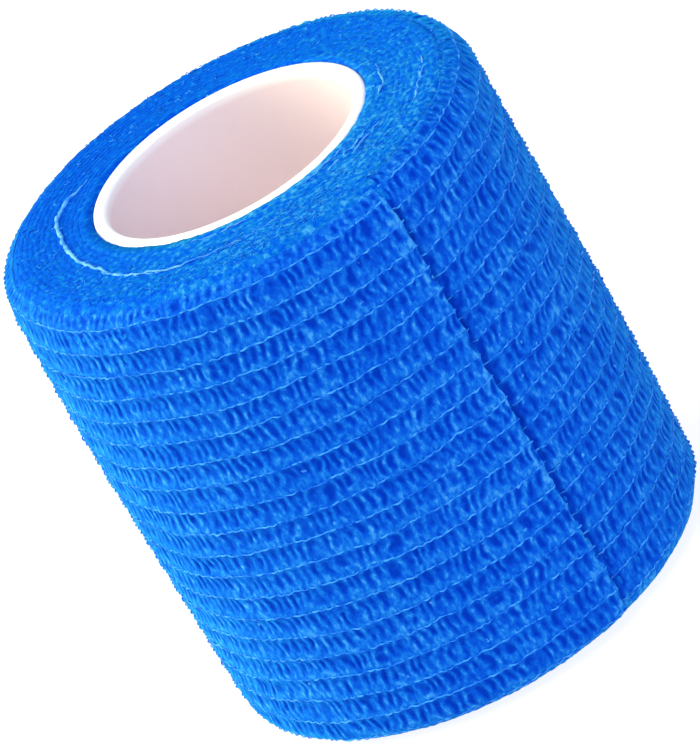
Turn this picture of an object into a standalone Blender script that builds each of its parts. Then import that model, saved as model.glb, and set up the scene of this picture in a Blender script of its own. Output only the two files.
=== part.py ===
"""A roll of crinkled cohesive bandage: one length of elastic cloth wound on a short white core.

Metres, +Z up. The roll stands on its end, and the origin is the centre of that end.
"""

import math

import bmesh
import bpy

# The wound cloth
CLOTH_WIDTH = 0.0500  # and so the height of the roll
ROLL_RADIUS = 0.02415  # over the last turn, at mid height
BARREL = 0.00025  # the roll is this much slimmer where its ends begin to round
LAYER = 0.00058  # one turn of cloth, so also the step at the free end
TOP_EDGE = 0.0030  # rounding from the side to the upper end
FOOT_EDGE = 0.0028  # and to the lower end
DENT = 0.0001  # how far the hand-soft side strays from round
DENTS_ROUND = 3

# The free end: the cloth's last cut edge, which lies stuck down along the side
FREE_END_ANGLE = -63.8  # degrees round from +X, at mid height
FREE_END_LEAN = 2.6  # degrees that the cut turns back from its foot to its top

# The elastic threads, over which the cloth stands in low ridges
THREADS = 20
THREAD_PITCH = 0.00247
LOWEST_THREAD = 0.0014
RIDGE = 0.00016  # from the hollows to the ridges
WANDER = 0.0011  # how much higher the cloth lies where the last turn begins than where it ends
WANDER_STARTS = 0.3  # the shares of the last turn between which it comes down
WANDER_ENDS = 0.75

# The core
CORE_RADIUS = 0.01365
CORE_WALL = 0.00136
CORE_LENGTH = 0.0502
CORE_EDGE = 0.0003
CORE_GAP = 0.0003  # between the core and the first turn

# How finely the round shapes are cut
STATIONS = 72
EDGE_STEPS = 4

BORE = CORE_RADIUS + CORE_GAP
TOP_SHOULDER = ROLL_RADIUS - BARREL - LAYER - TOP_EDGE
FOOT_SHOULDER = ROLL_RADIUS - BARREL - LAYER - FOOT_EDGE

BANDAGE_COLOUR = (0.006, 0.13, 0.72, 1.0)
CORE_COLOUR = (0.86, 0.82, 0.82, 1.0)


def clear_scene():
    for obj in list(bpy.data.objects):
        bpy.data.objects.remove(obj, do_unlink=True)


def make_material(name, colour, roughness):
    material = bpy.data.materials.new(name)
    material.use_nodes = True
    shader = material.node_tree.nodes["Principled BSDF"]
    shader.inputs["Base Color"].default_value = colour
    shader.inputs["Roughness"].default_value = roughness
    shader.inputs["Metallic"].default_value = 0.0
    return material


def place_object(name, mesh, material, collection):
    mesh.materials.append(material)
    mesh.shade_smooth()
    obj = bpy.data.objects.new(name, mesh)
    collection.objects.link(obj)
    return obj


def cut_angle(height):
    """Where the free end's cut edge lies at this height, in radians round from +X."""
    return math.radians(FREE_END_ANGLE - FREE_END_LEAN * (height / CLOTH_WIDTH - 0.5))


def wander(turn):
    """How far up the roll the cloth has strayed at this share of the last turn."""
    share = (WANDER_ENDS - turn) / (WANDER_ENDS - WANDER_STARTS)
    share = min(max(share, 0.0), 1.0)
    return WANDER * share * share * (3 - 2 * share)


def side_radius(turn, height):
    """Outer radius of the last turn: turn runs from 0, under the free end, to 1, at its cut edge."""
    straight = CLOTH_WIDTH / 2 - TOP_EDGE
    barrel = BARREL * ((height - CLOTH_WIDTH / 2) / straight) ** 2
    around = cut_angle(height) + math.tau * turn
    dent = DENT * math.sin(DENTS_ROUND * around + math.tau * height / CLOTH_WIDTH)
    return ROLL_RADIUS - LAYER * (1 - turn) - min(barrel, BARREL) + dent


def rounded_edge(shoulder, reach, end_height, depth):
    """Points from the flat end, at the shoulder, round to the side, without the shoulder itself."""
    points = []
    for step in range(1, EDGE_STEPS + 1):
        angle = math.pi / 2 * step / EDGE_STEPS
        radius = shoulder + (reach - shoulder) * math.sin(angle)
        points.append((radius, end_height + depth * (1 - math.cos(angle))))
    return points


def section(turn):
    """The wound cloth cut through its axis, as (radius, height) from the bore's top round to its foot."""
    top_start = CLOTH_WIDTH - TOP_EDGE
    points = [(BORE, CLOTH_WIDTH), (TOP_SHOULDER, CLOTH_WIDTH)]
    points += rounded_edge(TOP_SHOULDER, side_radius(turn, top_start), CLOTH_WIDTH, -TOP_EDGE)
    above = top_start
    for thread in range(THREADS - 2, 0, -1):
        ridge = LOWEST_THREAD + THREAD_PITCH * thread + wander(turn)
        hollow = (above + ridge) / 2
        depth = RIDGE * min((above - ridge) / THREAD_PITCH, 1.0)  # shallower where the last row is narrow
        points.append((side_radius(turn, hollow) - depth, hollow))
        points.append((side_radius(turn, ridge), ridge))
        above = ridge
    foot = rounded_edge(FOOT_SHOULDER, side_radius(turn, FOOT_EDGE), 0.0, FOOT_EDGE)
    points += reversed(foot)
    points += [(FOOT_SHOULDER, 0.0), (BORE, 0.0)]
    return points


def wound_cloth(material, collection):
    """The whole winding as one body. Its outside follows the last turn in, and steps down at the cut edge."""
    sections = [section(station / STATIONS) for station in range(STATIONS + 1)]
    rows = len(sections[0])
    closed_rows = (0, 1, rows - 2, rows - 1)  # the ends and the bore, which the step doesn't reach
    body = bmesh.new()
    rings = []
    for station, points in enumerate(sections):
        ring = []
        for row, (radius, height) in enumerate(points):
            if station == STATIONS and row in closed_rows:
                ring.append(rings[0][row])
                continue
            angle = cut_angle(height) + math.tau * station / STATIONS
            corner = (radius * math.cos(angle), radius * math.sin(angle), height)
            ring.append(body.verts.new(corner))
        rings.append(ring)
    for near, far in zip(rings, rings[1:]):
        for row in range(rows):
            below = (row + 1) % rows
            body.faces.new((near[row], near[below], far[below], far[row]))
    under, over = rings[0], rings[-1]
    for row in range(1, rows - 2):
        corners = (under[row], over[row], over[row + 1], under[row + 1])
        body.faces.new(list(dict.fromkeys(corners)))
    bmesh.ops.recalc_face_normals(body, faces=body.faces)
    mesh = bpy.data.meshes.new("bandage")
    body.to_mesh(mesh)
    body.free()
    return place_object("bandage", mesh, material, collection)


def core_tube(material, collection):
    """The core: a wall with eased corners, turned about the roll's axis."""
    outer, inner = CORE_RADIUS, CORE_RADIUS - CORE_WALL
    corners = (
        (outer - CORE_EDGE, CORE_LENGTH - CORE_EDGE, 90),
        (outer - CORE_EDGE, CORE_EDGE, 0),
        (inner + CORE_EDGE, CORE_EDGE, -90),
        (inner + CORE_EDGE, CORE_LENGTH - CORE_EDGE, -180),
    )
    profile = bmesh.new()
    points = []
    for radius, height, start in corners:
        for turned in (0, 45, 90):
            angle = math.radians(start - turned)
            x = radius + CORE_EDGE * math.cos(angle)
            z = height + CORE_EDGE * math.sin(angle)
            points.append(profile.verts.new((x, 0.0, z)))
    for first, second in zip(points, points[1:] + points[:1]):
        profile.edges.new((first, second))
    mesh = bpy.data.meshes.new("core")
    profile.to_mesh(mesh)
    profile.free()
    core = place_object("core", mesh, material, collection)
    turning = core.modifiers.new("turned", "SCREW")
    turning.axis = "Z"
    turning.steps = turning.render_steps = STATIONS
    turning.use_merge_vertices = True
    turning.merge_threshold = 0.00001
    return core


def main():
    clear_scene()
    collection = bpy.data.collections.new("cohesive_bandage_roll")
    bpy.context.scene.collection.children.link(collection)
    wound_cloth(make_material("crinkled_cloth", BANDAGE_COLOUR, 0.85), collection)
    core_tube(make_material("white_core", CORE_COLOUR, 0.45), collection)


main()
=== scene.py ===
import math

import bpy
import numpy as np
from mathutils import Matrix, Vector


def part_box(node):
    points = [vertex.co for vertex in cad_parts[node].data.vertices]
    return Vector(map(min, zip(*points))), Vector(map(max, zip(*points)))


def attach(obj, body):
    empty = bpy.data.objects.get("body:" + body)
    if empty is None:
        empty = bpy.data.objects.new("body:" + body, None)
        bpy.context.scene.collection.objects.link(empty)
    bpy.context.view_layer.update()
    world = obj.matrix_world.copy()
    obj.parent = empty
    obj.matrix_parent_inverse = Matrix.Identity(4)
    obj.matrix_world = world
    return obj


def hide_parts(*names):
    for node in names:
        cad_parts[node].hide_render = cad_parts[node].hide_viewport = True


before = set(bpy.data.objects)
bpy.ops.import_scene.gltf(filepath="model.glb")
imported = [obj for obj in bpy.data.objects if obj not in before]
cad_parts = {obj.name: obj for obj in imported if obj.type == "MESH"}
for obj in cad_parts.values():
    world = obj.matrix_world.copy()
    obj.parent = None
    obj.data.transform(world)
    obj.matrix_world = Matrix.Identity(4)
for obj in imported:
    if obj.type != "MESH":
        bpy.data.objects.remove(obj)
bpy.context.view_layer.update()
mm = 0.001  # the sizes below are in millimetres, and the meshes are made in metres
print("frame:", ", ".join(sorted(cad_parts)))

clothLow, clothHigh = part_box("bandage")
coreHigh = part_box("core")[1]

roll = {
    "width": (clothHigh.z - clothLow.z) / mm,
    "radius": 24.15,        # over the free end, at mid height
    "layer": 0.58,          # one turn of cloth
    "barrel": 0.25,         # how much slimmer the roll is where its ends begin to round
    "topEdge": 3.0,         # rounding from the side to each end
    "footEdge": 2.8,
    "dent": 0.1,            # how far the side strays from round
    "dentsRound": 3,
    "freeEndAngle": -63.8,  # degrees round from +X, at mid height
    "freeEndLean": 2.6,     # degrees that the cut turns back from its foot to its top
}
edgeReach = roll["radius"] - roll["barrel"]  # over the free end, where the ends begin to round
topShoulder = edgeReach - roll["layer"] - roll["topEdge"]
footShoulder = edgeReach - roll["layer"] - roll["footEdge"]
topArc = roll["topEdge"] * math.pi / 2
footArc = roll["footEdge"] * math.pi / 2
straightSide = roll["width"] - roll["topEdge"] - roll["footEdge"]
girth = math.tau * (roll["radius"] - roll["layer"] / 2)  # the length of cloth in the last turn


def cellValue(x, y, seed):  # a number from 0 to 1 for each pair of whole numbers, the same each run
    mixed = np.sin(x * 127.1 + y * 311.7 + seed * 74.7) * 43758.5453
    return mixed - np.floor(mixed)


def softNoise(x, y, seed):  # from -1 to 1, with one rise or fall for each unit of x and y
    column, row = np.floor(x), np.floor(y)
    right, up = x - column, y - row
    right, up = right * right * (3 - 2 * right), up * up * (3 - 2 * up)
    low = cellValue(column, row, seed) * (1 - right) + cellValue(column + 1, row, seed) * right
    high = cellValue(column, row + 1, seed) * (1 - right) + cellValue(column + 1, row + 1, seed) * right
    return 2 * (low * (1 - up) + high * up) - 1


def uneven(how, along, across, seed):  # how is (how far, length of a rise or fall, its breadth)
    amount, length, breadth = how
    return amount * softNoise(along / length, across / breadth, seed)


def patchy(kind, along, across, seed):  # a strength that comes and goes over the cloth
    return np.clip(kind["middle"] + uneven(kind["spread"], along, across, seed), kind["least"], kind["most"])


def ease(share):  # 0 to 1 with a soft start and end
    share = np.clip(share, 0, 1)
    return share * share * (3 - 2 * share)


# the roll's smooth form, which the frame's solid has too

def cutAngle(z):
    return np.radians(roll["freeEndAngle"] - roll["freeEndLean"] * (z / roll["width"] - 0.5))


def sideReach(turn, around, z):  # radius of the side; turn is 0 under the free end and 1 at its cut edge
    z = np.clip(z, roll["footEdge"], roll["width"] - roll["topEdge"])
    barrel = roll["barrel"] * ((z - roll["width"] / 2) / (roll["width"] / 2 - roll["topEdge"])) ** 2
    dent = roll["dent"] * np.sin(roll["dentsRound"] * around + math.tau * z / roll["width"])
    return roll["radius"] - roll["layer"] * (1 - turn) - np.minimum(barrel, roll["barrel"]) + dent


def clothPoint(turn, across, lift):
    # across runs up the roll's outline from the foot's flat to the top's flat, lift stands out from it
    footTurn = np.clip(across / footArc, 0, 1) * math.pi / 2
    topTurn = np.clip((across - footArc - straightSide) / topArc, 0, 1) * math.pi / 2
    z = roll["footEdge"] * (1 - np.cos(footTurn)) + np.clip(across - footArc, 0, straightSide)
    z = z + roll["topEdge"] * np.sin(topTurn)
    around = cutAngle(z) + math.tau * turn
    reach = sideReach(turn, around, z)
    low = across < footArc
    radius = np.where(low, footShoulder + (reach - footShoulder) * np.sin(footTurn),
                      topShoulder + (reach - topShoulder) * np.cos(topTurn))
    radius = radius + lift * np.where(low, np.sin(footTurn), np.cos(topTurn))
    z = z + lift * np.where(low, -np.cos(footTurn), np.sin(topTurn))
    return np.stack([radius * np.cos(around), radius * np.sin(around), z], -1)


# Three numbers together say how uneven something is: how far, and over what length and breadth of cloth.
# Where the breadth is 1, each thread or band has its own unevenness, kept apart by a factor such as 5.3.

cloth = {
    "threads": 20,
    "threadPitch": 2.47,
    "lowestThread": 3.0,            # up the outline from the foot's flat
    "lowerSelvedge": -0.514,        # in thread pitches from the lowest thread
    "upperSelvedge": 19.615,
    "wander": 1.1,                  # the last turn starts this much higher than it ends
    "wanderFrom": 0.3,              # the shares of the turn between which it comes down
    "wanderTo": 0.75,
    "drift": (0.2, 8.0, 5.0),       # how neighbouring threads stray together
    "startDrift": (0.2, 3.6, 4.0),  # and more where the last turn starts and lies less even
    "startDriftEnds": 0.3,          # at this share of the turn
    "startDriftFades": 0.1,
    "wobble": (0.1, 3.2, 1),        # and each by itself
    "ridge": 0.14,                  # height of the cloth over a thread
    "ridgeAbove": 1.1,              # how far that ridge reaches up from the thread
    "ridgeBelow": 0.5,              # and down
    "crumples": ((0.03, 0.4, 0.75), (0.03, 0.9, 1.2)),  # small ones, all over
    "nook": 0.2,                    # how far the cloth sinks where the free end presses on it
    "nookReach": 0.4,               # how far round that goes at least, and how much more between threads
    "nookSwell": 0.9,
    "nookStrength": (0.85, 0.7, 1.3),  # its middle and spread, and rises or falls for each thread pitch
    "cutHighlight": 1.3,                    # the free end gets a painted highlight this near its cut
}
topBand = cloth["threads"] - 1
noThread = 9  # stands for a thread too far off to matter, in thread pitches

puckers = {
    "pitch": 1.0,
    "startPitch": 1.25,              # and in the first quarter of the turn
    "strayTogether": (0.6, 9.0, 2),  # how a pucker's place strays, in pitches; the breadth is in threads
    "strayByBand": (0.36, 2.6, 1),
    "strayFinely": (0.24, 1.3, 1),
    "bow": (0.4, 1.9, 1),            # how it bends
    "slant": (0.4, 3.0, 1),
    "kink": (0.22, 1.3, 0.9),
    "bottom": (0.06, 0.36),          # the share of its band where it starts, and how much further up it may
    "top": (0.98, 0.26),             # and where it ends, and how much lower it may
    "thinFoot": 0.65,                # its depth at the bottom, and how much more it gains to the top
    "fullTop": 0.5,
    "blunt": 1.1,                    # it is from as broad as its ribs
    "sharp": 1.2,                    # to half of that
    "broken": {"middle": 0.9, "spread": (0.65, 0.5, 0.6), "least": 0.15, "most": 1.3},
    "patch": {"middle": 0.95, "spread": (0.22, 5.0, 2), "least": 0.65, "most": 1.15},
    "shallow": 0.06,                 # depth of the faintest pucker
    "deep": 0.1,                     # how much deeper the strongest is
    "rib": 0.055,                    # how far the cloth bulges between two puckers
    "ribBroken": {"middle": 0.8, "spread": (0.6, 0.6, 0.7), "least": 0.1, "most": 1.2},
    "smoothFrom": 0.4,               # share of the top band where the web smooths out on to the end
    "smoothOver": 0.4,
    "smoothBy": 0.8,
}

puckerTint = {               # how much deeper or paler in colour the web is: painted shade and painted highlight, and a paler tone all over
    "faint": 1.15,           # painted shade in the faintest pucker
    "strong": 1.0,           # and more in the strongest
    "threadShadow": 0.7,             # painted shadow just under a thread, strongest where a pucker meets it
    "threadShadowBetween": 0.15,     # and, as a share, between puckers
    "threadShadowDown": 0.4,         # how far under the thread that is
    "threadShadowHalf": 0.3,
    # painted shadow of the free end's edge on the turn beneath
    "nook": 0.95,
    "rib": 0.25,             # painted highlight on a rib
    "cutHighlight": 0.35,            # painted highlight near the free end's cut
    "overall": 0.13,         # paler all over
    "palest": -0.5,
    "deepest": 1.2,
}


def wander(turn):
    return cloth["wander"] * ease((cloth["wanderTo"] - turn) / (cloth["wanderTo"] - cloth["wanderFrom"]))


def acrossAt(turn, row):  # row counts threads, with shares between them
    along = turn * girth
    plain = cloth["lowestThread"] + cloth["threadPitch"] * row + wander(turn)
    thread = np.floor(row)
    share = row - thread
    wobbleBelow = uneven(cloth["wobble"], along, thread * 5.3, 12)
    wobbleAbove = uneven(cloth["wobble"], along, (thread + 1) * 5.3, 12)
    atStart = ease((cloth["startDriftEnds"] - turn) / cloth["startDriftFades"])
    drift = uneven(cloth["drift"], along, plain, 11) + atStart * uneven(cloth["startDrift"], along, plain, 14)
    return plain + drift + wobbleBelow * (1 - share) + wobbleAbove * share


def bandShare(row, band):  # 0 at a band's lower thread or selvedge, and 1 at its upper
    share = np.where(row < 0, 1 + row / -cloth["lowerSelvedge"], row - band)
    return np.where(band >= topBand, (row - topBand) / (cloth["upperSelvedge"] - topBand), share)


def puckerPhase(along, row, band, share):  # counts puckers along the cloth
    start = np.minimum(along, girth / 4)
    phase = (along - start) / puckers["pitch"] + start / puckers["startPitch"]
    phase = phase + uneven(puckers["strayTogether"], along, row, 21)
    phase = phase + uneven(puckers["strayByBand"], along, band * 5.7, 22)
    phase = phase + uneven(puckers["strayFinely"], along, band * 7.1, 23)
    phase = phase + uneven(puckers["bow"], along, band * 2.9, 28) * 4 * share * (1 - share)
    phase = phase + uneven(puckers["slant"], along, band * 3.7, 24) * (share - 0.5)
    return phase + uneven(puckers["kink"], along, row * cloth["threadPitch"], 25)


def puckerLens(number, band, share):  # deepest in its middle, and a little deeper above than below
    bottom = puckers["bottom"][0] + puckers["bottom"][1] * cellValue(number, band, 32)
    top = puckers["top"][0] - puckers["top"][1] * cellValue(number, band, 33) ** 2
    inside = np.clip((share - bottom) / (top - bottom), 0, 1)
    return np.sqrt(4 * inside * (1 - inside)) * (puckers["thinFoot"] + puckers["fullTop"] * inside)


def clothRelief(turn, row):  # height over the roll's smooth form, and how deep in colour, with painted shade in puckers, under threads and by the free end, and below 0 for painted highlight on a rib
    along = turn * girth
    across = row * cloth["threadPitch"]
    band = np.floor(row)
    overThread = np.where(row < 0, noThread, row - band) * cloth["threadPitch"]
    toNext = np.where(row < 0, -row, 1 - (row - band))
    underThread = np.where(band >= topBand, noThread, toNext) * cloth["threadPitch"]
    hollow = 1 - np.exp(-(overThread / cloth["ridgeAbove"]) ** 2)
    hollow = hollow * (1 - np.exp(-(underThread / cloth["ridgeBelow"]) ** 2))

    share = bandShare(row, band)
    phase = puckerPhase(along, row, band, share)
    number = np.floor(phase + 0.5)
    swing = np.cos(math.tau * (phase - number))  # 1 in the middle of a pucker and -1 on a rib
    strength = cellValue(number, band, 31)
    trough = (0.5 + 0.5 * swing) ** (puckers["blunt"] + puckers["sharp"] * cellValue(number, band, 34))
    slot = trough * puckerLens(number, band, share) * patchy(puckers["broken"], along, across, 27)
    smooth = 1 - puckers["smoothBy"] * ease((share - puckers["smoothFrom"]) / puckers["smoothOver"])
    slot = slot * np.where(band >= topBand, smooth, 1) * patchy(puckers["patch"], along, row, 26)
    rib = (0.5 - 0.5 * swing) ** 2 * np.sqrt(np.clip(4 * share * (1 - share), 0, 1))
    rib = rib * cellValue(np.floor(phase), band, 35) * patchy(puckers["ribBroken"], along, across, 29)

    crumple = sum(uneven(how, along, across, 41 + place) for place, how in enumerate(cloth["crumples"]))
    nookReach = cloth["nookReach"] + cloth["nookSwell"] * hollow * (0.4 + 0.6 * cellValue(band, 0, 44))
    middle, spread, often = cloth["nookStrength"]
    pressed = np.clip(middle + spread * softNoise(row * often, 0.5, 43), 0, 1)
    nook = np.exp(-(along / nookReach) ** 4) * pressed
    # painted highlight near the free end's cut
    cutHighlight = np.exp(-((1 - turn) * girth / cloth["cutHighlight"]) ** 2)
    height = crumple - cloth["ridge"] * hollow - slot * (puckers["shallow"] + puckers["deep"] * strength)
    height = height + puckers["rib"] * rib - cloth["nook"] * nook

    # painted shadow just under each thread
    threadShadow = np.exp(-((underThread - puckerTint["threadShadowDown"]) / puckerTint["threadShadowHalf"]) ** 2)
    # painted shade in the puckers, and painted highlight on the ribs
    depth = slot * (puckerTint["faint"] + puckerTint["strong"] * strength) - puckerTint["rib"] * rib
    depth = depth + puckerTint["threadShadow"] * (puckerTint["threadShadowBetween"] + trough) * threadShadow
    # painted shadow in the nook by the free end's edge, painted highlight near its cut, and paler all over
    depth = depth + puckerTint["nook"] * nook - puckerTint["cutHighlight"] * cutHighlight - puckerTint["overall"]
    return height, np.clip(depth, puckerTint["palest"], puckerTint["deepest"])


def makePiece(name, points, faces, material):
    mesh = bpy.data.meshes.new(name)
    mesh.from_pydata((np.asarray(points) * mm).tolist(), [], faces)
    mesh.shade_smooth()
    mesh.materials.append(material)
    piece = bpy.data.objects.new(name, mesh)
    bpy.context.scene.collection.objects.link(piece)
    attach(piece, "root")
    triangles = sum(len(face) - 2 for face in faces)
    print(f"{name}: {triangles} triangles")
    return piece


def setAttribute(piece, name, values):
    layer = piece.data.attributes.new(name, "FLOAT", "POINT")
    layer.data.foreach_set("value", np.asarray(values, np.float32).ravel())


def gridFaces(first, columns, rows):  # points run up each column in turn; the faces look out
    corner = first + (np.arange(columns - 1)[:, None] * rows + np.arange(rows - 1)[None, :]).ravel()
    return np.stack([corner, corner + rows, corner + rows + 1, corner + 1], -1)


def gridRim(first, columns, rows):  # (how far round, point), along each side of a grid in turn
    columnShares = list(enumerate(np.linspace(0, 1, columns)))
    rowShares = list(enumerate(np.linspace(0, 1, rows)))
    sides = [
        [(share, column * rows) for column, share in columnShares],
        [(share, (columns - 1) * rows + row) for row, share in rowShares],
        [(share, (columns - 1 - column) * rows + rows - 1) for column, share in columnShares],
        [(share, rows - 1 - row) for row, share in rowShares],
    ]
    return [(side + share, first + point)
            for side, rim in enumerate(sides) for share, point in rim[min(side, 1):]]


def joinRims(outer, inner):  # triangles between two rims that need not have as many points
    faces = []
    i = j = 0
    while i < len(outer) - 1 or j < len(inner) - 1:
        outerNext = outer[i + 1][0] if i < len(outer) - 1 else math.inf
        innerNext = inner[j + 1][0] if j < len(inner) - 1 else math.inf
        if outerNext <= innerNext:
            faces.append([outer[i + 1][1], outer[i][1], inner[j][1]])
            i += 1
        else:
            faces.append([inner[j][1], inner[j + 1][1], outer[i][1]])
            j += 1
    return faces


def tubes(paths, radii, sides, outward):
    # paths holds one row of points for each tube, radii a number for each point
    along = np.gradient(paths, axis=1)
    along /= np.linalg.norm(along, axis=-1, keepdims=True) + 1e-12
    aside = np.cross(along, outward)
    aside /= np.linalg.norm(aside, axis=-1, keepdims=True) + 1e-12
    upward = np.cross(aside, along)
    angles = np.arange(sides) * math.tau / sides
    ring = aside[:, :, None] * np.cos(angles)[:, None] + upward[:, :, None] * np.sin(angles)[:, None]
    points = paths[:, :, None] + ring * radii[:, :, None, None]
    count, length = paths.shape[:2]
    start = (np.arange(count)[:, None, None] * length + np.arange(length - 1)[None, :, None]) * sides
    side = np.arange(sides)[None, None, :]
    following = (side + 1) % sides
    walls = np.stack([start + side, start + side + sides, start + following + sides, start + following], -1)
    first = np.arange(count)[:, None] * length * sides
    ends = np.concatenate([first + np.arange(sides)[None, :],
                           first + (length - 1) * sides + np.arange(sides)[None, ::-1]])
    return points.reshape(-1, 3), walls.reshape(-1, 4).tolist() + ends.tolist()


def linearColour(hexColour):
    channels = [int(hexColour[place:place + 2], 16) / 255 for place in (1, 3, 5)]
    return tuple(c / 12.92 if c <= 0.04045 else ((c + 0.055) / 1.055) ** 2.4 for c in channels) + (1.0,)


def startMaterial(name, colour, **values):
    material = bpy.data.materials.new(name)
    material.use_nodes = True
    tree = material.node_tree
    shader = tree.nodes["Principled BSDF"]
    shader.inputs["Base Color"].default_value = linearColour(colour)
    for socket, value in values.items():
        shader.inputs[socket].default_value = value
    return material, tree, shader


def addNode(tree, kind, settings=None, values=None, links=None, stops=None):
    node = tree.nodes.new(kind)
    for setting, value in (settings or {}).items():
        setattr(node, setting, value)
    for socket, value in (values or {}).items():
        node.inputs[socket].default_value = value
    for socket, source in (links or {}).items():
        tree.links.new(source, node.inputs[socket])
    if stops:  # a ramp's (position, hex colour) pairs, from low to high
        elements = node.color_ramp.elements
        elements.remove(elements[1])
        elements[0].position = stops[0][0]
        elements[0].color = linearColour(stops[0][1])
        for position, colour in stops[1:]:
            elements.new(position).color = linearColour(colour)
    return node


def perMetre(size):  # a texture's scale for a grain of this many millimetres
    return 1 / (size * mm)


nonwoven = {
    "pit": "#0034B2",       # painted shade down in a pucker
    "body": "#0652CA",
    "crest": "#146FD4",
    "pale": "#4499E2",      # clumps of fibre that catch the light
    "speck": "#51AFF4",
    "sheenTint": "#06EEF4",
    "grain": 0.42,          # clumps of fibre, as fine as the picture can show them
    "grainGain": 2.0,
    "strand": 0.75,         # loops of thicker strands over them
    "strandHalf": 0.11,     # half the breadth of a strand, as a share of the loops' noise
    "strandGain": 0.22,
    "upright": 0.6,         # breadth of clumps and strands as a share of their height
    "patch": 5.0,           # thicker and thinner web
    "patchGain": 0.5,
    "contrast": 0.9,        # the tone that the ramp's ends stand for, either way
    "speckCell": 1.3,
    "speckShare": 0.1,      # of the cells, how many hold a pale speck
    "speckReach": 0.17,     # how far it reaches from its cell's middle, and how far it is solid
    "speckSolid": 0.04,
    "speckFray": 0.5,       # how far its outline is torn, and how finely
    "speckTear": 0.25,
    "fibre": 0.3,           # single fibres, felt in the light and not drawn
    "roughness": 0.75,
    "sheen": 0.4,
    "bump": 0.09,
}
slitEdge = {
    **nonwoven,
    "body": "#0052CF",
    "crest": "#0A70C9",
    "pale": "#429FDE",
    "grain": 0.6,
    "grainGain": 2.2,
    "strandGain": 0.2,
    "patch": 1.6,
    "sheen": 0.15,
    "bump": 0.05,
}


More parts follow.
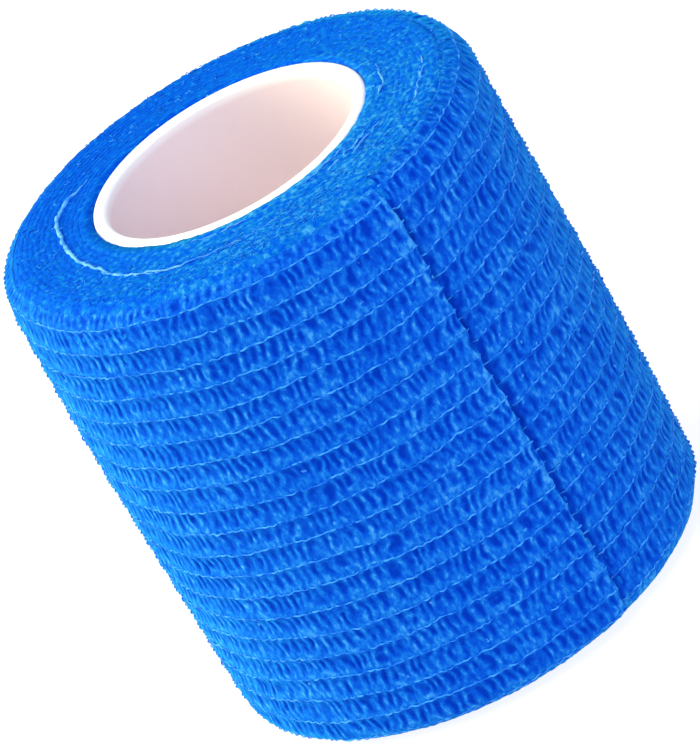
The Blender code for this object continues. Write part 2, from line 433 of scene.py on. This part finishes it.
def crimpedNonwoven(name, look):
    # spun polyester web bonded with latex: dull and grainy, with painted shade down in its puckers
    material, tree, shader = startMaterial(name, look["body"], **{
        "Roughness": look["roughness"], "IOR": 1.5, "Specular IOR Level": 0.02,
        "Sheen Weight": look["sheen"], "Sheen Roughness": 0.4, "Sheen Tint": linearColour(look["sheenTint"])})
    place = addNode(tree, "ShaderNodeTexCoord").outputs["Object"]
    tallPlace = addNode(tree, "ShaderNodeMapping", values={"Scale": (1.0, 1.0, look["upright"])},
                        links={"Vector": place}).outputs["Vector"]

    # the clumps and the thicker and thinner patches, both from below 0 to above it
    clumps = addNode(tree, "ShaderNodeTexNoise", values={"Scale": perMetre(look["grain"]), "Detail": 2.0},
                     links={"Vector": tallPlace}).outputs["Fac"]
    clumpTone = addNode(tree, "ShaderNodeMath", {"operation": "MULTIPLY_ADD"},
                        {1: look["grainGain"], 2: -look["grainGain"] / 2}, {0: clumps}).outputs[0]
    patches = addNode(tree, "ShaderNodeTexNoise", values={"Scale": perMetre(look["patch"]), "Detail": 1.0},
                      links={"Vector": place}).outputs["Fac"]
    patchTone = addNode(tree, "ShaderNodeMath", {"operation": "MULTIPLY_ADD"},
                        {1: look["patchGain"], 2: -look["patchGain"] / 2}, {0: patches}).outputs[0]

    # a strand runs where its noise is near one half
    loops = addNode(tree, "ShaderNodeTexNoise",
                    values={"Scale": perMetre(look["strand"]), "Detail": 1.0, "Distortion": 0.5},
                    links={"Vector": tallPlace}).outputs["Fac"]
    overHalf = addNode(tree, "ShaderNodeMath", {"operation": "SUBTRACT"}, {1: 0.5}, {0: loops}).outputs[0]
    fromStrand = addNode(tree, "ShaderNodeMath", {"operation": "ABSOLUTE"}, links={0: overHalf}).outputs[0]
    strandTone = addNode(tree, "ShaderNodeMapRange", values={
        "From Min": look["strandHalf"], "From Max": 0.0, "To Max": look["strandGain"]},
        links={"Value": fromStrand}).outputs["Result"]

    clothTone = addNode(tree, "ShaderNodeMath", {"operation": "ADD"},
                        links={0: clumpTone, 1: patchTone}).outputs[0]
    webTone = addNode(tree, "ShaderNodeMath", {"operation": "ADD"},
                      links={0: clothTone, 1: strandTone}).outputs[0]
    # the pucker attribute holds painted shade and painted highlight on the last turn, and a painted sheen on
    # the end's near side
    pucker = addNode(tree, "ShaderNodeAttribute", {"attribute_name": "pucker"}).outputs["Fac"]
    tone = addNode(tree, "ShaderNodeMath", {"operation": "SUBTRACT"},
                   links={0: webTone, 1: pucker}).outputs[0]
    toneShare = addNode(tree, "ShaderNodeMapRange",
                        values={"From Min": -look["contrast"], "From Max": look["contrast"]},
                        links={"Value": tone}).outputs["Result"]
    web = addNode(tree, "ShaderNodeValToRGB", links={"Fac": toneShare}, stops=[
        (0.0, look["pit"]), (0.5, look["body"]), (0.72, look["crest"]), (1.0, look["pale"])]).outputs["Color"]

    # pale specks in a few cells, with torn outlines
    tear = addNode(tree, "ShaderNodeTexNoise", values={"Scale": perMetre(look["speckTear"])},
                   links={"Vector": place}).outputs["Color"]
    tornPlace = addNode(tree, "ShaderNodeVectorMath", {"operation": "MULTIPLY_ADD"},
                        {1: (look["speckFray"] * mm,) * 3}, {0: tear, 2: place}).outputs["Vector"]
    cells = addNode(tree, "ShaderNodeTexVoronoi", values={"Scale": perMetre(look["speckCell"])},
                    links={"Vector": tornPlace})
    nearMiddle = addNode(tree, "ShaderNodeMapRange",
                         values={"From Min": look["speckReach"], "From Max": look["speckSolid"]},
                         links={"Value": cells.outputs["Distance"]}).outputs["Result"]
    cellNumber = addNode(tree, "ShaderNodeSeparateColor",
                         links={"Color": cells.outputs["Color"]}).outputs["Red"]
    isPicked = addNode(tree, "ShaderNodeMath", {"operation": "GREATER_THAN"}, {1: 1 - look["speckShare"]},
                       {0: cellNumber}).outputs[0]
    isSpeck = addNode(tree, "ShaderNodeMath", {"operation": "MULTIPLY"},
                      links={0: nearMiddle, 1: isPicked}).outputs[0]
    speckled = addNode(tree, "ShaderNodeMix", {"data_type": "RGBA"}, {"B": linearColour(look["speck"])},
                       {"Factor": isSpeck, "A": web}).outputs["Result"]
    tree.links.new(speckled, shader.inputs["Base Color"])

    fibres = addNode(tree, "ShaderNodeTexNoise",
                     values={"Scale": perMetre(look["fibre"]), "Detail": 2.0, "Distortion": 0.6},
                     links={"Vector": place}).outputs["Fac"]
    bump = addNode(tree, "ShaderNodeBump", values={"Strength": 1.0, "Distance": look["bump"] * mm},
                   links={"Height": fibres}).outputs["Normal"]
    tree.links.new(bump, shader.inputs["Normal"])
    return material


threadLook = {
    "bead": 0.85,   # length of a stretch where the thread lies free of the web or under its fibres
    "glint": 0.8,   # the same on a thread that has sprung out
}


def bareElastane():
    # clear elastic thread over the blue web: paler and smoother than the cloth
    material, tree, shader = startMaterial("elastane thread", "#3C9BFF", **{
        "Roughness": 0.55, "IOR": 1.5, "Specular IOR Level": 0.08})
    place = addNode(tree, "ShaderNodeTexCoord").outputs["Object"]
    beads = addNode(tree, "ShaderNodeTexNoise", values={"Scale": perMetre(threadLook["bead"]), "Detail": 1.0},
                    links={"Vector": place}).outputs["Fac"]
    tone = addNode(tree, "ShaderNodeValToRGB", links={"Fac": beads},
                   stops=[(0.38, "#0866DA"), (0.64, "#40A0F6")]).outputs["Color"]
    tree.links.new(tone, shader.inputs["Base Color"])
    return material


def relaxedElastane():
    # elastic that has sprung out of the web and lost its tension: clear, so the palest blue in the light
    material, tree, shader = startMaterial("relaxed elastane thread", "#8CD0FF", **{
        "Roughness": 0.55, "IOR": 1.5, "Specular IOR Level": 0.15})
    place = addNode(tree, "ShaderNodeTexCoord").outputs["Object"]
    glints = addNode(tree, "ShaderNodeTexNoise",
                     values={"Scale": perMetre(threadLook["glint"]), "Detail": 2.0},
                     links={"Vector": place}).outputs["Fac"]
    tone = addNode(tree, "ShaderNodeValToRGB", links={"Fac": glints},
                   stops=[(0.35, "#2888EE"), (0.65, "#70BEFC")]).outputs["Color"]
    tree.links.new(tone, shader.inputs["Base Color"])
    return material


def looseFibre():
    # cut ends of the web's fibres: fine, pale where they stand in the light
    material, tree, shader = startMaterial("loose polyester fibre", "#1E7CF5", **{
        "Roughness": 0.7, "IOR": 1.5, "Specular IOR Level": 0.05})
    place = addNode(tree, "ShaderNodeTexCoord").outputs["Object"]
    shade = addNode(tree, "ShaderNodeTexNoise", values={"Scale": perMetre(0.6)},
                    links={"Vector": place}).outputs["Fac"]
    tone = addNode(tree, "ShaderNodeValToRGB", links={"Fac": shade},
                   stops=[(0.3, "#005CD0"), (0.5, "#1074E0"), (0.7, "#48AAF6")]).outputs["Color"]
    tree.links.new(tone, shader.inputs["Base Color"])
    return material


def extrudedPolythene():
    # white tube, drawn smooth: a soft gloss, and a faint rose cast down its bore
    material, tree, shader = startMaterial("extruded white polythene", "#FFFFFF", **{
        "Roughness": 0.4, "IOR": 1.51})
    place = addNode(tree, "ShaderNodeTexCoord").outputs["Object"]
    height = addNode(tree, "ShaderNodeSeparateXYZ", links={"Vector": place}).outputs["Z"]
    down = addNode(tree, "ShaderNodeMapRange",  # from just under the rim to where the cast is full
                   values={"From Min": coreHigh.z - 0.3 * mm, "From Max": coreHigh.z - 1.2 * mm},
                   links={"Value": height}).outputs["Result"]
    cast = addNode(tree, "ShaderNodeValToRGB", links={"Fac": down},
                   stops=[(0.0, "#FFFFFF"), (1.0, "#EEDCE0")]).outputs["Color"]
    tree.links.new(cast, shader.inputs["Base Color"])
    drawn = addNode(tree, "ShaderNodeTexNoise", values={"Scale": perMetre(3.0)},
                    links={"Vector": place}).outputs["Fac"]
    bump = addNode(tree, "ShaderNodeBump", values={"Strength": 0.2, "Distance": 0.02 * mm},
                   links={"Height": drawn}).outputs["Normal"]
    tree.links.new(bump, shader.inputs["Normal"])
    return material


nonwovenCloth = crimpedNonwoven("crimped polyester nonwoven", nonwoven)
nonwovenEdge = crimpedNonwoven("slit edge of crimped nonwoven", slitEdge)
elastaneThread, sprungThread = bareElastane(), relaxedElastane()
fibre, polythene = looseFibre(), extrudedPolythene()
print("materials made")


lastTurn = {
    "startTurn": -0.02,
    "columns": 1190,
    "rowsInBand": (0.0, 0.06, 0.14, 0.24, 0.34, 0.44, 0.54, 0.64, 0.74, 0.84, 0.93),
    "rowsInSelvedge": (0.15, 0.32, 0.5, 0.7, 0.86, 1.0),
    "innerColumns": 160,
    "seams": (0, 6, 13, 19),           # the threads where its three lengthways strips meet
    "innerLift": -0.54,                # the hidden side, just over the turn beneath
    "thinnest": 0.04,                  # the cloth's least thickness, down in a nook
    "edgeThickness": 0.24,             # and where the edges show
    "innerTint": 0.5,                  # how deep in colour the hidden side is
    "raggedBy": 0.16,                  # how far the cut runs back between threads
    "raggedWander": (0.22, 0.8),       # and over the threads, with so many rises or falls for each pitch
    "raggedTufts": ((0.08, 4.0), (0.05, 11.0)),  # and in coarse and fine tufts
    "raggedOver": 2.2,                 # how far from the cut the cloth gives way for that
}


def raggedAlong(turn, row):  # the cut edge runs back between threads, and unevenly
    band = np.floor(row)
    wanderBy, often = lastTurn["raggedWander"]
    backward = lastTurn["raggedBy"] * np.sin(math.pi * (row - band)) * (0.5 + 0.5 * cellValue(band, 0, 51))
    backward = backward + wanderBy * (1 + softNoise(row * often, 0.5, 54))
    for place, (tuft, often) in enumerate(lastTurn["raggedTufts"]):
        backward = backward + tuft * softNoise(row * often, 0.5, 52 + place)
    near = ease(1 - (1 - turn) * girth / lastTurn["raggedOver"])
    return turn - near * backward / girth


def lastTurnRows(low, high):
    rows = [thread + share for thread in range(low, high) for share in lastTurn["rowsInBand"]] + [high]
    if low == 0:
        rows = [cloth["lowerSelvedge"] * share for share in reversed(lastTurn["rowsInSelvedge"])] + rows
    if high == topBand:
        rows += [high + (cloth["upperSelvedge"] - high) * share for share in lastTurn["rowsInSelvedge"]]
    return np.array(rows, float)


def makeLastTurnStrip(name, low, high):
    rows = lastTurnRows(low, high)
    turns = np.linspace(lastTurn["startTurn"], 1, lastTurn["columns"])
    turn, row = np.meshgrid(turns, rows, indexing="ij")
    turn = raggedAlong(turn, row)
    height, pucker = clothRelief(turn, row)
    height = np.maximum(height, lastTurn["innerLift"] + lastTurn["thinnest"])
    outer = clothPoint(turn, acrossAt(turn, row), height)

    innerRows = np.concatenate([rows[:1], np.arange(low + 0.5, high, 0.5), rows[-1:]])
    turns = np.linspace(lastTurn["startTurn"], 1, lastTurn["innerColumns"])
    turn, row = np.meshgrid(turns, innerRows, indexing="ij")
    turn = raggedAlong(turn, row)
    height = clothRelief(turn, row)[0] - lastTurn["edgeThickness"]
    toSelvedge = np.minimum(row - cloth["lowerSelvedge"], cloth["upperSelvedge"] - row)
    inward = ease(np.minimum((1 - turn) * girth / 2, toSelvedge * 2))
    height = np.maximum(lastTurn["innerLift"], height * (1 - inward) + lastTurn["innerLift"] * inward)
    inner = clothPoint(turn, acrossAt(turn, row), height)

    count = outer.shape[0] * outer.shape[1]
    faces = gridFaces(0, *outer.shape[:2]).tolist() + gridFaces(count, *inner.shape[:2])[:, ::-1].tolist()
    faces += joinRims(gridRim(0, *outer.shape[:2]), gridRim(count, *inner.shape[:2]))
    points = np.concatenate([outer.reshape(-1, 3), inner.reshape(-1, 3)])
    piece = makePiece(name, points, faces, nonwovenCloth)
    innerTint = np.full(inner.shape[0] * inner.shape[1], lastTurn["innerTint"])
    setAttribute(piece, "pucker", np.concatenate([pucker.ravel(), innerTint]))
    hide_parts("bandage")
    return piece


innerTurns = {
    "stations": 16300,
    "measures": 40000,          # steps for measuring its length
    "turns": 15.14,
    "web": 1.16,                # the strip's thickness where it shows, felted into its neighbours
    "webUneven": (0.06, 0.4, 1),
    "wave": 0.06,               # its puckers, seen on edge
    "waveShare": (0.7, 0.5, 2.2),  # the share of that size, its spread, and over what length
    "wavePitch": 0.92,
    "waveStray": (0.9, 4.0, 1),
    "crinkle": (0.06, 0.5, 1),
    "groove": 0.05,             # how far its edges are below its middle
    "jitter": 0.045,            # its unevenness
    "jitterSizes": (0.5, 1.7),
    "frizz": (0.012, 0.5, 1),
    "footClear": 0.045,         # how far its lower edge stays off the floor
    "dives": ((0.2, -0.1, 0.2), (0.4, 0.1, 0.4)),  # under the selvedge: how far, where from, over what
    "swell": 0.22,              # how far the first turns stand up round the core
    "swellFrom": 17.0,          # inwards from this radius
    "swellOver": 3.0,
    "coreGap": 0.06,            # between the first turn and the core
    "coreGapUneven": (0.05, 0.35, 1),
    "coreTurns": 1.1,           # how many turns lie against the core
    "coreLeft": 0.06,           # and the share of a turn in which they leave it
    "tint": 0.01,               # how deep in colour the end is all over
    "paintedNearSheen": 0.26,                # painted sheen: how much paler the end is on its near side, where the light falls
    "paintedNearSheenTurned": 0.55,          # radians that the palest side is turned from -Y
    "coreTint": 0.18,           # how much paler it is against the core, where nothing shades it
    "coreTintFrom": 15.3,
    "coreTintOver": 1.2,
}


def outlineHeight(radius, reach, top):  # height of the roll's end at this radius
    shoulder, edge = (topShoulder, roll["topEdge"]) if top else (footShoulder, roll["footEdge"])
    past = np.clip((radius - shoulder) / (reach - shoulder), 0, 0.98)  # short of where the edge is upright
    fall = edge * (1 - np.sqrt(1 - past ** 2))
    return roll["width"] - fall if top else fall


def selvedgeRadius(covering, reach, top):  # where the last turn's selvedge lies over the end
    row = cloth["upperSelvedge"] if top else cloth["lowerSelvedge"]
    edge = cloth["lowestThread"] + cloth["threadPitch"] * row + wander(covering)
    if top:
        bend = (edge - footArc - straightSide) / topArc * math.pi / 2
        return topShoulder + (reach - topShoulder) * np.cos(bend)
    return footShoulder + (reach - footShoulder) * np.sin(edge / footArc * math.pi / 2)


def swellAt(radius):
    return innerTurns["swell"] * ease((innerTurns["swellFrom"] - radius) / innerTurns["swellOver"])


def stripAcross(turn, along, top):  # the strip's two edges and its middle, at one end of the roll
    seed = 60 if top else 70
    around = math.radians(roll["freeEndAngle"]) + math.tau * turn
    covering = turn - np.floor(turn)  # the share of the last turn that lies over this place
    reach = edgeReach - roll["layer"] * (1 - covering)
    share, spread, length = innerTurns["waveShare"]
    phase = along / innerTurns["wavePitch"] + uneven(innerTurns["waveStray"], along, 0.5, seed)
    swing = innerTurns["wave"] * (share + spread * softNoise(along / length, 0.5, seed + 1))
    wave = swing * np.sin(math.tau * phase) + uneven(innerTurns["crinkle"], along, 0.5, seed + 2)
    selvedge = selvedgeRadius(covering, reach, top)
    byCore = coreHigh.x / mm + innerTurns["coreGap"]
    byCore = byCore + uneven(innerTurns["coreGapUneven"], along, 0.5, seed + 6)
    inFirstTurn = ease((innerTurns["coreTurns"] - innerTurns["turns"] - turn) / innerTurns["coreLeft"])
    rings = []
    for side, offset in enumerate((-0.5, 0.0, 0.5)):
        web = innerTurns["web"] * (1 + uneven(innerTurns["webUneven"], along, side, seed + 3))
        radius = edgeReach - roll["layer"] * (1.5 - turn) + wave + offset * web
        if side == 0:  # the first turn lies against the core
            radius = radius + (byCore - radius) * inFirstTurn
        x, y = radius * np.cos(around), radius * np.sin(around)
        drop = sum(depth * ease((radius - selvedge - start) / over)
                   for depth, start, over in innerTurns["dives"])
        bumps = 1 + sum(softNoise(x / breadth, y / breadth, seed + 4 + place)
                        for place, breadth in enumerate(innerTurns["jitterSizes"]))
        drop = drop + innerTurns["jitter"] * bumps + uneven(innerTurns["frizz"], along, side * 3.3, seed + 7)
        drop = drop + innerTurns["groove"] * (2 * offset) ** 2
        level = outlineHeight(radius, reach, top)
        z = level - drop + swellAt(radius) if top else level + drop + innerTurns["footClear"]
        rings.append(np.stack([x, y, z], -1))
    return rings


def makeInnerTurns():  # one long strip on edge, wound inwards to the core
    finely = np.linspace(-innerTurns["turns"], lastTurn["startTurn"], innerTurns["measures"])
    middle = edgeReach - roll["layer"] * (1.5 - finely)
    length = np.concatenate([[0], np.cumsum(math.tau * middle[1:] * np.diff(finely))])
    along = np.linspace(0, length[-1], innerTurns["stations"])
    turn = np.interp(along, length, finely)
    # round the strip's section: top from the core out, then the foot back in
    rings = stripAcross(turn, along, True) + stripAcross(turn, along, False)[::-1]
    points = np.stack(rings, 1)
    count, corners = points.shape[:2]
    start = np.arange(count - 1)[:, None] * corners
    side = np.arange(corners)[None, :]
    following = (side + 1) % corners
    walls = np.stack([start + side, start + following,
                      start + following + corners, start + side + corners], -1)
    faces = walls.reshape(-1, 4).tolist()
    faces += [list(range(corners))[::-1], [(count - 1) * corners + corner for corner in range(corners)]]
    piece = makePiece("inner_turns", points.reshape(-1, 3), faces, nonwovenEdge)
    around = math.radians(roll["freeEndAngle"]) + math.tau * turn
    # painted sheen on the end's near side, and paler by the core, where nothing shades it
    depth = innerTurns["tint"] + innerTurns["paintedNearSheen"] * np.sin(around - innerTurns["paintedNearSheenTurned"])
    fromCore = innerTurns["coreTintFrom"] - (edgeReach - roll["layer"] * (1.5 - turn))
    depth -= innerTurns["coreTint"] * ease(fromCore / innerTurns["coreTintOver"])
    setAttribute(piece, "pucker", np.repeat(depth, corners))
    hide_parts("bandage")
    return piece


makeInnerTurns()
for name, low, high in zip(("last_turn_lower", "last_turn_middle", "last_turn_upper"),
                           lastTurn["seams"], lastTurn["seams"][1:]):
    makeLastTurnStrip(name, low, high)


elastic = {
    "radius": 0.08,
    "step": 0.21,
    "sides": 4,
    "lift": 0.02,                  # its middle over the cloth's ridge
    "bob": 0.09,                   # it dips into the web and out again with the puckers
    "bobStray": (0.7, 2.0, 1),
    "bobSlowly": (0.6, 4.0, 1),
    "sways": ((0.1, 0.5, 1), (0.06, 1.1, 1)),
    "thickness": (0.4, 0.5, 1),
    "pastCut": 0.2,                # how far a thread may stand out past the cut
}


def makeThreads():  # the elastic that shows in the last turn
    count = int(girth / elastic["step"])
    thread = np.arange(cloth["threads"], dtype=float)[:, None]
    end = raggedAlong(1.0, thread) + elastic["pastCut"] * cellValue(thread, 0, 81) / girth
    turn = lastTurn["startTurn"] + np.linspace(0, 1, count)[None, :] * (end - lastTurn["startTurn"])
    along = turn * girth
    phase = along / puckers["pitch"] + uneven(elastic["bobStray"], along, thread * 3.1, 82)
    bob = np.sin(math.tau * phase) + uneven(elastic["bobSlowly"], along, thread * 3.1, 83)
    height = clothRelief(np.minimum(turn, 1), thread)[0] + elastic["lift"] + elastic["bob"] * bob
    sway = sum(uneven(how, along, thread * 1.7, 85 + place) for place, how in enumerate(elastic["sways"]))
    paths = clothPoint(turn, acrossAt(turn, thread) + sway, height)
    outward = paths * [1, 1, 0]
    radii = elastic["radius"] * (1 + uneven(elastic["thickness"], along, thread * 2.3, 84))
    points, faces = tubes(paths, radii, elastic["sides"], outward)
    return makePiece("elastic_threads", points, faces, elastaneThread)


makeThreads()


core = {
    "outer": coreHigh.x / mm,
    "wall": 1.36,
    "length": coreHigh.z / mm,
    "corner": 0.45,  # rounding of the rims
    "cornerSteps": 6,
    "steps": 180,
}


def makeCore():
    corner = core["corner"]
    outer, inner = core["outer"] - corner, core["outer"] - core["wall"] + corner
    low, high = corner, core["length"] - corner
    profile = []  # down the outside, then up the bore
    for radius, z, start in ((outer, high, 90), (outer, low, 0), (inner, low, -90), (inner, high, -180)):
        for angle in np.radians(start - np.linspace(0, 90, core["cornerSteps"] + 1)):
            profile.append((radius + corner * math.cos(angle), z + corner * math.sin(angle)))
    reach, height = np.array(profile).T
    angles = np.arange(core["steps"]) * math.tau / core["steps"]
    points = np.stack([np.outer(np.cos(angles), reach), np.outer(np.sin(angles), reach),
                       np.outer(np.ones(core["steps"]), height)], -1)
    rows = len(profile)
    faces = []
    for step in range(core["steps"]):
        here, there = step * rows, (step + 1) % core["steps"] * rows
        for row in range(rows):
            following = (row + 1) % rows
            faces.append([here + row, here + following, there + following, there + row])
    piece = makePiece("core_tube", points.reshape(-1, 3), faces, polythene)
    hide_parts("core")
    return piece


makeCore()


pulledThreads = {  # elastic that has come out of the wound end: (degrees round, mm from the axis)
    "paths": (
        ((138.5, 16.3), (148, 17.1), (158.5, 17.5), (171, 16.95), (181, 16.65), (195.5, 16.75), (209, 16.9),
         (220.5, 17.7), (230.5, 17.8), (237, 18.15)),
        ((205, 16.95), (220, 17.65), (232, 17.75), (237, 18.15), (247, 17.8), (261.5, 17.55), (278, 17.45)),
        ((-118, 14.8), (-104, 14.75), (-92, 14.85)),
        ((-74, 14.8), (-60, 14.7), (-48, 14.85)),
        ((-66, 15.5), (-52, 15.6), (-40, 15.5)),
        ((-57, 16.3), (-46, 16.2), (-34, 16.4)),
        ((-21, 15.1), (-13, 15.3), (-5, 15.2), (3, 15.3)),
        ((-32, 19.1), (-22, 19.0), (-13, 19.2), (-4, 19.1)),
    ),
    "radii": (0.2, 0.09, 0.07, 0.07, 0.07, 0.07, 0.12, 0.11),
    "points": 150,
    "sides": 5,
    "sunk": 0.1,            # how far the end lies below the cloth's full width there
    "lift": 0.08,
    "sways": ((0.07, 0.5, 1), (0.1, 2.0, 1)),
    "rise": (0.12, 0.6, 1),
    "thickness": (0.35, 0.35, 1),
    "startTaper": 0.11,     # shares of its length over which it thins out to its ends
    "endTaper": 0.43,
    "thinnest": 0.25,
}


def makePulledThreads():
    paths, radii = [], []
    for number, (path, radius) in enumerate(zip(pulledThreads["paths"], pulledThreads["radii"])):
        angles, reach = np.array(path).T
        share = np.linspace(0, 1, pulledThreads["points"])
        given = np.linspace(0, 1, len(path))
        around = np.radians(np.interp(share, given, angles))
        out = np.interp(share, given, reach)
        length = np.concatenate([[0], np.cumsum(np.abs(np.diff(around)) * out[1:])])
        out = out + sum(uneven(how, length, number, 91 + place)
                        for place, how in enumerate(pulledThreads["sways"]))
        level = roll["width"] - pulledThreads["sunk"] + swellAt(out)
        z = level + pulledThreads["lift"] + uneven(pulledThreads["rise"], length, number, 93)
        paths.append(np.stack([out * np.cos(around), out * np.sin(around), z], -1))
        taper = np.minimum(share / pulledThreads["startTaper"], (1 - share) / pulledThreads["endTaper"])
        thickness = 1 + uneven(pulledThreads["thickness"], length, number, 94)
        radii.append(radius * np.clip(taper, pulledThreads["thinnest"], 1) * thickness)
    paths, radii = np.stack(paths), np.stack(radii)
    outward = np.zeros_like(paths)
    outward[..., 2] = 1
    points, faces = tubes(paths, radii, pulledThreads["sides"], outward)
    return makePiece("pulled_threads", points, faces, sprungThread)


makePulledThreads()


fuzz = {
    "top": 2600,
    "foot": 900,
    "length": 0.5,
    "shortest": 0.5,       # as shares of that length
    "longest": 1.3,
    "bend": 2.2,           # radians that a fibre may turn from one end to the other
    "radius": 0.045,
    "sides": 3,
    "points": 4,
    "nearer": 0.7,         # more of it on the near side
    "from": 14.2,
    "to": 21.5,
    "sunk": 0.14,          # how far a fibre may lie in the end
    "wave": 0.05,          # and how far each of its points strays from that
}


def makeFuzz():  # loose fibres lying over both ends
    rng = np.random.default_rng(7)
    count = fuzz["top"] + fuzz["foot"]
    around = rng.uniform(0, math.tau, count)
    around -= fuzz["nearer"] * np.cos(around)
    radius = np.sqrt(rng.uniform(fuzz["from"] ** 2, fuzz["to"] ** 2, count))
    reach = edgeReach - roll["layer"] / 2
    isTop = np.arange(count) < fuzz["top"]
    level = np.where(isTop, outlineHeight(radius, reach, True), outlineHeight(radius, reach, False))
    heading = rng.uniform(0, math.tau, count)
    bend = rng.uniform(-fuzz["bend"], fuzz["bend"], count)
    length = fuzz["length"] * rng.uniform(fuzz["shortest"], fuzz["longest"], count)
    steps = np.linspace(-0.5, 0.5, fuzz["points"])[None, :]
    turned = heading[:, None] + bend[:, None] * steps
    x = radius[:, None] * np.cos(around)[:, None] + length[:, None] * steps * np.cos(turned)
    y = radius[:, None] * np.sin(around)[:, None] + length[:, None] * steps * np.sin(turned)
    up = rng.uniform(-fuzz["sunk"], 0.0, count)[:, None]
    up = up + fuzz["wave"] * rng.uniform(-1, 1, (count, fuzz["points"]))
    z = level[:, None] + np.where(isTop, 1, -1)[:, None] * up
    z = np.maximum(z, fuzz["radius"])
    paths = np.stack([x, y, z], -1)
    outward = np.zeros_like(paths)
    outward[..., 2] = 1
    radii = np.full(paths.shape[:2], fuzz["radius"])
    points, faces = tubes(paths, radii, fuzz["sides"], outward)
    return makePiece("end_fuzz", points, faces, fibre)


makeFuzz()


def makeFloor():
    # opal acrylic lit from beneath, as on a photographer's table: white ground with nearly no shadow
    half = 3.0
    mesh = bpy.data.meshes.new("floor")
    corners = [(-half, -half, 0), (half, -half, 0), (half, half, 0), (-half, half, 0)]
    mesh.from_pydata(corners, [], [(0, 1, 2, 3)])
    material = startMaterial("opal acrylic light table", "#8C8C8C", **{
        "Roughness": 0.9, "Emission Color": (1.0, 1.0, 1.0, 1.0), "Emission Strength": 0.85})[0]
    mesh.materials.append(material)
    floor = bpy.data.objects.new("floor", mesh)
    bpy.context.scene.collection.objects.link(floor)


studio = {
    "world": 0.25,
    "distance": 1.1,  # metres from the roll to each light
    # watts, size in metres, degrees from the camera's side (left is less than 0), degrees up, colour
    "lights": {
        "key": (6.2, 0.8, -38, 50, "#FFFFF2"),
        "top": (4.0, 0.6, 0, 82, "#FFFFFF"),
        "fill": (7.2, 1.0, 45, 20, "#B6D3FF"),
        "backLeft": (26.0, 1.1, -112, 18, "#FFFFDE"),
    },
}


def lightStudio():
    middle = Vector((0, 0, roll["width"] / 2 * mm))
    for name, (watts, size, azimuth, elevation, colour) in studio["lights"].items():
        light = bpy.data.lights.new(name, "AREA")
        light.energy = watts
        light.size = size
        light.color = linearColour(colour)[:3]
        lamp = bpy.data.objects.new(name, light)
        azimuth, elevation = math.radians(azimuth), math.radians(elevation)
        away = Vector((math.sin(azimuth) * math.cos(elevation), -math.cos(azimuth) * math.cos(elevation),
                       math.sin(elevation)))
        lamp.location = middle + away * studio["distance"]
        lamp.rotation_euler = away.to_track_quat("Z", "Y").to_euler()
        bpy.context.scene.collection.objects.link(lamp)
    world = bpy.data.worlds.new("studio")
    world.use_nodes = True
    background = world.node_tree.nodes["Background"]
    background.inputs["Color"].default_value = linearColour("#FFFFFF")
    background.inputs["Strength"].default_value = studio["world"]
    bpy.context.scene.world = world
    bpy.context.scene.view_settings.view_transform = "Standard"


cameraSeat = {
    "elevation": 25.58,
    "lean": 29.87,         # the roll's top leans to the left in the picture
    "distance": 600.0,
    "lens": 318.5,
    "pixel": 11.0447,      # pixels of the picture to a millimetre at the roll
    "rightPixels": 4.9,    # where the roll's middle falls, from the picture's middle
    "upPixels": 0.8,
}


def seatCamera():
    elevation, lean = math.radians(cameraSeat["elevation"]), math.radians(cameraSeat["lean"])
    back = Vector((0, -math.cos(elevation), math.sin(elevation)))
    right, up = Vector((1, 0, 0)), Vector((0, math.sin(elevation), math.cos(elevation)))
    pictureRight = right * math.cos(lean) - up * math.sin(lean)
    pictureUp = right * math.sin(lean) + up * math.cos(lean)
    data = bpy.data.cameras.new("camera")
    data.lens = cameraSeat["lens"]
    data.clip_start = 0.01
    data.clip_end = 20
    camera = bpy.data.objects.new("camera", data)
    offset = pictureRight * cameraSeat["rightPixels"] + pictureUp * cameraSeat["upPixels"]
    seat = Vector((0, 0, roll["width"] / 2)) + back * cameraSeat["distance"] - offset / cameraSeat["pixel"]
    axes = Matrix((pictureRight, pictureUp, back)).transposed().to_4x4()
    camera.matrix_world = Matrix.Translation(seat * mm) @ axes
    bpy.context.scene.collection.objects.link(camera)
    bpy.context.scene.camera = camera


makeFloor()
lightStudio()
seatCamera()
print("studio lit")
